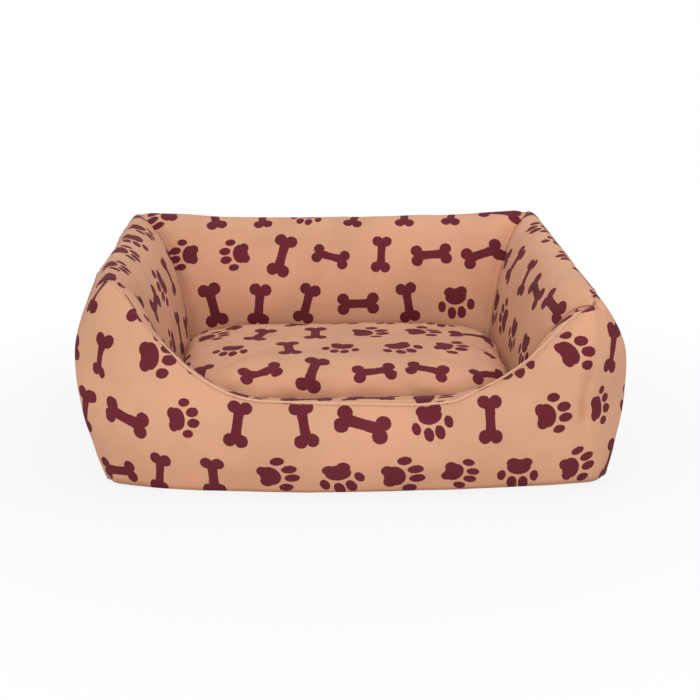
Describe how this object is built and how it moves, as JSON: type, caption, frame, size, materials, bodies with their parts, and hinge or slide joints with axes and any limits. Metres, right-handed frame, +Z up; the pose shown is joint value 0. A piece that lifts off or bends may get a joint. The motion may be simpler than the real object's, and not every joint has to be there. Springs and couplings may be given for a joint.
{
  "type": "pet bed",
  "caption": "Rectangular stuffed fabric pet bed with high back and sides, a scooped low front and a loose zipped cushion.",
  "frame": {"origin": "centre of the bed's outline, on the surface that its base stands on", "axes": "+X to the right along the front, +Y from the low front to the back wall, +Z up"},
  "size_m": [0.632, 0.512, 0.244],
  "materials": {
    "outer_fabric": "smooth woven, printed",
    "inner_fabric": "smooth woven, printed",
    "cushion_fabric": "smooth woven, printed",
    "base_fabric": "matte canvas with rubber dots",
    "lining_fabric": "matte",
    "fibre_pad": "matte fibre",
    "stuffing": "matte fibre",
    "cushion_stuffing": "matte fibre",
    "zip_tape": "woven",
    "zip_nylon": "satin",
    "zip_metal": "satin"
  },
  "bodies": {
    "bed": {"outer_band": "outer_fabric", "back_outer_panel": "outer_fabric", "front_inner_panel": "inner_fabric", "left_inner_panel": "inner_fabric", "right_inner_panel": "inner_fabric", "back_inner_panel": "inner_fabric", "front_bolster_fill": "stuffing", "left_bolster_fill": "stuffing", "right_bolster_fill": "stuffing", "back_bolster_fill": "stuffing", "non_slip_base": "base_fabric", "floor_pad": "fibre_pad", "floor_lining": "lining_fabric"},
    "cushion": {"cushion_top_panel": "cushion_fabric", "cushion_bottom_panel": "cushion_fabric", "cushion_fill": "cushion_stuffing", "zip_tape_upper": "zip_tape", "zip_tape_lower": "zip_tape", "zip_coil": "zip_nylon", "zip_stops": "zip_metal"},
    "zip_slider": {"zip_slider": "zip_metal"},
    "zip_pull": {"zip_pull": "zip_metal"}
  },
  "joints": [
    {"name": "cushion_lift", "type": "slide", "parent": "bed", "child": "cushion", "axis": [0, 0, 1], "range_m": [0, 0.26]},
    {"name": "zip_slide", "type": "slide", "parent": "cushion", "child": "zip_slider", "axis": [-1, 0, 0], "range_m": [0, 0.262]},
    {"name": "pull_swing", "type": "hinge", "parent": "zip_slider", "child": "zip_pull", "pos_m": [0.1312, 0.1229, 0.0465], "axis": [0, 0, -1], "range_deg": [0, 16]}
  ]
}
